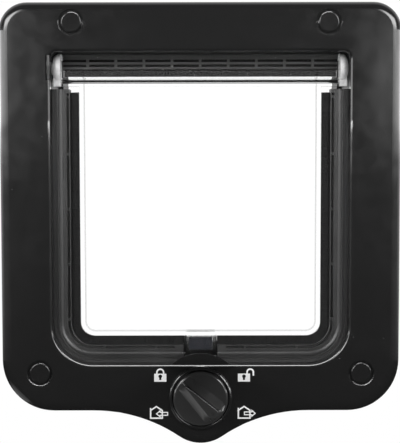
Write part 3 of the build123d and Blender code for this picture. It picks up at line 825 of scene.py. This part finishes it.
def ink_layer(name, loops, corner, lift=0.0):
    """A flat curve filled between its loops, turned into a mesh and laid on the frame's face."""
    curve = bpy.data.curves.new(name, "CURVE")
    curve.dimensions = "2D"
    curve.fill_mode = "BOTH"
    curve.extrude = INK / MM
    for loop in loops:
        spline = curve.splines.new("POLY")
        spline.points.add(len(loop) - 1)
        spline.use_cyclic_u = True
        for point, where in zip(spline.points, loop):
            point.co = (where[0], where[1], 0.0, 1.0)
    drawing = bpy.data.objects.new(name, curve)
    mesh = bpy.data.meshes.new_from_object(drawing)
    bpy.data.objects.remove(drawing)
    upright = Matrix.Translation((corner[0] * MM, PLATE_FRONT - lift, corner[1] * MM))
    mesh.transform(upright @ Matrix.Rotation(math.pi / 2, 4, "X") @ Matrix.Scale(MM, 4))
    mesh.name = name
    mesh.materials.append(sign_ink)
    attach(new_piece(name, mesh), "frame")


print("ink stands", round(INK / MM, 2), "mm off the face at y", round(PLATE_FRONT / MM, 1), "mm")

# %% Two padlocks
LOCK_WIDTH = 6.2
LOCK_HEIGHT = 4.15
SHACKLE = 0.78
KEYHOLE_Z = -1.4
KEYHOLE_RADIUS = 0.95
KEYHOLE_FOOT = 0.56
KEYHOLE_LOW = 0.87 - LOCK_HEIGHT
CLOSED_PLACE = (-20.6, -83.9)
OPEN_PLACE = (22.1, -83.9)
OPEN_SHACKLE_PLACE = (25.3, -83.9)


def shackle(radius, centre_z, free_end):
    """A bow with a left leg down to the padlock's body and a right leg down to its free end."""
    inner = radius - SHACKLE
    return [(radius, free_end), *arc((0.0, centre_z), radius, 0, 180), (-radius, 0.0),
            (-inner, 0.0), *arc((0.0, centre_z), inner, 180, 0), (inner, free_end)]


keyhole = [*arc((0.0, KEYHOLE_Z), KEYHOLE_RADIUS, -54, 234),
           (-KEYHOLE_FOOT, KEYHOLE_LOW), (KEYHOLE_FOOT, KEYHOLE_LOW)]
body_loops = [box_loop(-LOCK_WIDTH / 2, LOCK_WIDTH / 2, -LOCK_HEIGHT, 0.0), keyhole]
ink_layer("sign_closed_body", body_loops, CLOSED_PLACE)
ink_layer("sign_closed_shackle", [shackle(radius=2.1, centre_z=0.6, free_end=0.0)], CLOSED_PLACE)
ink_layer("sign_open_body", body_loops, OPEN_PLACE)
ink_layer("sign_open_shackle", [shackle(radius=2.0, centre_z=0.7, free_end=-1.1)], OPEN_SHACKLE_PLACE)

# %% Two houses with arrows
HOUSE_PEN = 0.74
ARROW_PEN = 0.5
HOUSE_PATH = [(0.0, 0.0), (5.95, 0.0), (5.95, 4.0), (2.95, 6.0), (0.0, 4.0)]
CHIMNEY = box_loop(-HOUSE_PEN / 2, 0.3, 4.3, 5.3)


def arrow_path(tail, neck, tip, middle, shaft, head):
    """An arrow's outline from its tail along a level line to its tip, anticlockwise or clockwise."""
    return [(tail, middle - shaft), (neck, middle - shaft), (neck, middle - head), (tip, middle),
            (neck, middle + head), (neck, middle + shaft), (tail, middle + shaft)]


ARROW_IN = arrow_path(tail=8.7, neck=4.85, tip=3.0, middle=2.25, shaft=0.74, head=1.55)
ARROW_OUT = arrow_path(tail=3.1, neck=6.9, tip=8.6, middle=2.45, shaft=0.72, head=1.5)
HOUSES = {"in": ((-25.6, -106.9), ARROW_IN), "out": ((19.25, -106.9), ARROW_OUT)}
for way, (corner, arrow) in HOUSES.items():
    ink_layer("sign_house_" + way, pen(HOUSE_PATH, HOUSE_PEN), corner)
    ink_layer("sign_chimney_" + way, [CHIMNEY], corner, lift=INK)
    ink_layer("sign_arrow_" + way, pen(arrow, ARROW_PEN), corner, lift=INK)
print("houses with arrows:", ", ".join(HOUSES))

# %% [markdown]
# ## The studio
#
# The frame hangs in front of a white backdrop between two soft boxes. The plate mirrors the dim side of the
# studio where the camera stands, so it looks black; its rounded edges turn to the sides and to the backdrop
# and catch bright lines. The world is white for the camera and for rays that pass through the flap, and plain
# for the light that falls on the object. Only mirrored rays see shapes in it: tall lights on both sides, two
# high ones with a dark strip between them, a low one and the bright backdrop behind the frame. Each shape is
# a product of ramps over the direction of the ray, whose parts go from -1 to 1.

# %% The world
AMBIENT = 0.5
PASSED = 1.08
DIM_SIDE = 0.12
world = bpy.data.worlds.new("studio")
bpy.context.scene.world = world
world.use_nodes = True
sky = Recipe(world.node_tree)
across, deep, up = sky.parts(sky.node("ShaderNodeTexCoord", out="Generated"))
aside = abs(across)

backdrop = sky.step(deep, -0.25, 0.3, DIM_SIDE, 1.0) * sky.step(up, -0.22, 0.0)
tall_lights = sky.step(aside, 0.16, 0.19, 0.0, 2.7) + sky.step(aside, 0.2, 1.0, 0.0, 3.5)
tall_foot = sky.step(up, -0.24, -0.12, 0.0, 0.06) + sky.step(up, 0.0, 0.035, 0.0, 0.94)
tall_top = sky.step(up, 0.17, 0.11)
high_sides = sky.step(aside, 0.18, 0.34) * sky.step(aside, 0.82, 0.66) * sky.step(deep, 0.6, 0.4)
high_lights = high_sides * sky.step(up, 0.1, 0.2, 0.0, 14.0) * sky.step(up, 0.52, 0.38)
low_light = sky.step(across, -0.46, -0.56) * sky.step(up, -0.5, -0.65, 0.0, 0.75)
shapes = backdrop + tall_lights * tall_foot * tall_top + high_lights + low_light

seen = sky.node("ShaderNodeLightPath", out="Is Camera Ray")
passed = sky.also(seen, "Is Transmission Ray")
mirrored_ray = sky.also(seen, "Is Glossy Ray") * (1.0 - passed)
other = 1.0 - (seen + passed + mirrored_ray).at_most(1.0)
level = seen + passed * (1.0 - seen) * PASSED + mirrored_ray * shapes + other * AMBIENT
glow = sky.node("ShaderNodeBackground", None, {"Color": grey(1.0), "Strength": level})
sky.node("ShaderNodeOutputWorld", None, {"Surface": glow})
print("world has", len(sky.tree.nodes), "nodes")

# %% [markdown]
# The two soft boxes beside the camera light the matt pieces; mirrored rays do not see them, since the world
# already shows its own lights. More lamps do the opposite: they are only seen mirrored, and light linking
# lets each act on one piece. A small one before the passage draws the bright line along the frame's lower
# lip, one overhead draws the upper half of the ring round each screw cap, and a tiny one before each cap
# draws the lower half of the ring round its hole.


# %% Soft boxes
def soft_box(name, where, target, width, height, power, lights=True):
    """An area lamp that lights the matt pieces or, if it does not, is only seen mirrored."""
    lamp = bpy.data.lights.new(name, "AREA")
    lamp.shape = "RECTANGLE"
    lamp.size = width
    lamp.size_y = height
    lamp.energy = power
    holder = bpy.data.objects.new(name, lamp)
    holder.location = where
    holder.rotation_euler = (Vector(target) - Vector(where)).to_track_quat("-Z", "Y").to_euler()
    holder.visible_camera = False
    holder.visible_transmission = False
    holder.visible_glossy = not lights
    holder.visible_diffuse = lights
    bpy.context.scene.collection.objects.link(holder)
    return holder


SIDE_DISTANCE = 0.5
for name, side in (("left_box", -1), ("right_box", 1)):
    soft_box(name, where=(side * SIDE_DISTANCE, -0.35, 0.25), target=(0.0, 0.0, 0.0),
             width=0.4, height=0.3, power=2.0)
print("soft boxes stand", SIDE_DISTANCE, "m to the sides")

# %% Lamps that only draw a line
RING_BOX_AHEAD = 5.0 * MM
RING_BOX_LIFT = 1.0 * MM
LIT_BY_LINK = {name: bpy.data.collections.new("lit_" + name) for name in ("front_frame", "screw_caps")}
for name, receivers in LIT_BY_LINK.items():
    receivers.objects.link(nodes[name])


def line_box(name, node, where, width, height, power):
    """A lamp that shines down, is only seen mirrored and acts on one node."""
    lamp = soft_box(name, where, Vector(where) - Vector((0.0, 0.0, 1.0)), width, height, power, lights=False)
    lamp.light_linking.receiver_collection = LIT_BY_LINK[node]


line_box("sill_box", "front_frame", (0.0, -0.075, 0.045), width=0.15, height=0.09, power=0.7)
line_box("cap_box", "screw_caps", (0.0, -0.06, 0.42), width=0.4, height=0.3, power=9.0)
for number, seat in enumerate(seats):
    where = (seat[0], PLATE_FRONT - RING_BOX_AHEAD, seat[2] + RING_BOX_LIFT)
    line_box(f"ring_box_{number}", "front_frame", where, width=0.009, height=0.008, power=0.007)
print("lamps:", sorted(lamp.name for lamp in bpy.data.lights))

# %% [markdown]
# Photographers put a black card, a flag, between a lamp and what it should not light. The knob sits in a
# round dish in the frame, and without a flag the small lamp would draw a second line on the dish's upper
# edge.

# %% A black flag above the knob
FLAG_HALF = 18.0 * MM
FLAG_FRONT = -60.0 * MM
FLAG_BACK = PLATE_FRONT - 0.1 * MM
FLAG_Z = -80.0 * MM
flag_mesh = bpy.data.meshes.new("flag")
card = bmesh.new()
corners = ((-1, FLAG_FRONT), (1, FLAG_FRONT), (1, FLAG_BACK), (-1, FLAG_BACK))
card.faces.new([card.verts.new((side * FLAG_HALF, y, FLAG_Z)) for side, y in corners])
card.to_mesh(flag_mesh)
card.free()
card_black, paint = new_finish("black_card")
close_finish(paint, paint.node("ShaderNodeBsdfDiffuse", None, {"Color": grey(0.002)}))
flag_mesh.materials.append(card_black)
flag = new_piece("flag", flag_mesh)
flag.visible_camera = False
flag.visible_transmission = False
flag.visible_diffuse = False
print("flag is", round(2 * FLAG_HALF / MM), "mm wide")

# %% [markdown]
# A pale floor below the frame keeps its soft shadow and fades out into the white backdrop at its rim. Half of
# it glows, so that it stays as white as the backdrop where nothing shades it.

# %% Floor
FLOOR_Z = -0.30
FLOOR_RADIUS = 0.62
FADE_FROM = FLOOR_RADIUS * 0.55
FADE_TO = FLOOR_RADIUS * 0.97
floor_mesh = bpy.data.meshes.new("floor")
disc = bmesh.new()
bmesh.ops.create_circle(disc, cap_ends=True, segments=96, radius=FLOOR_RADIUS)
bmesh.ops.translate(disc, verts=disc.verts, vec=(0.0, 0.0, FLOOR_Z))
disc.to_mesh(floor_mesh)
disc.free()
pale_floor, ground = new_finish("pale_floor")
flat = combined(ground, "MULTIPLY", ground.place(), (1.0, 1.0, 0.0))
from_middle = ground.node("ShaderNodeVectorMath", {"operation": "LENGTH"}, {0: flat}, out="Value")
matt = ground.node("ShaderNodeBsdfDiffuse", None, {"Color": grey(0.9)})
white = ground.node("ShaderNodeEmission", None, {"Color": grey(1.0), "Strength": 1.0})
pale = ground.node("ShaderNodeMixShader", None, {0: 0.5, 1: matt, 2: white})
close_finish(ground, ground.node("ShaderNodeMixShader", None, {
    0: ground.step(from_middle, FADE_FROM, FADE_TO), 1: pale, 2: ground.node("ShaderNodeBsdfTransparent")}))
floor_mesh.materials.append(pale_floor)
floor = new_piece("floor", floor_mesh)
floor.visible_glossy = False
print("floor radius:", FLOOR_RADIUS, "m")

# %% [markdown]
# The photograph was taken from the front, a little above the middle, with a longish lens. Distance, pitch and
# lens were settled by laying the render's outline over the photograph's.

# %% Camera
CAMERA_DISTANCE = 0.549
CAMERA_PITCH = math.radians(3.5)
CAMERA_ROLL = math.radians(0.09)
CAMERA_LENS = 88.2
AIM = Vector((-0.0002, -0.022, -0.00615))
camera_data = bpy.data.cameras.new("camera")
camera_data.lens = CAMERA_LENS
camera = bpy.data.objects.new("camera", camera_data)
backwards = Vector((0.0, -math.cos(CAMERA_PITCH), math.sin(CAMERA_PITCH)))
camera.location = AIM + backwards * CAMERA_DISTANCE
camera.rotation_mode = "QUATERNION"
roll = Quaternion((0.0, 0.0, 1.0), -CAMERA_ROLL)
camera.rotation_quaternion = (-backwards).to_track_quat("-Z", "Y") @ roll
bpy.context.scene.collection.objects.link(camera)
bpy.context.scene.camera = camera
bpy.context.scene.view_settings.view_transform = "Standard"
print("camera at", [round(part, 3) for part in camera.location])
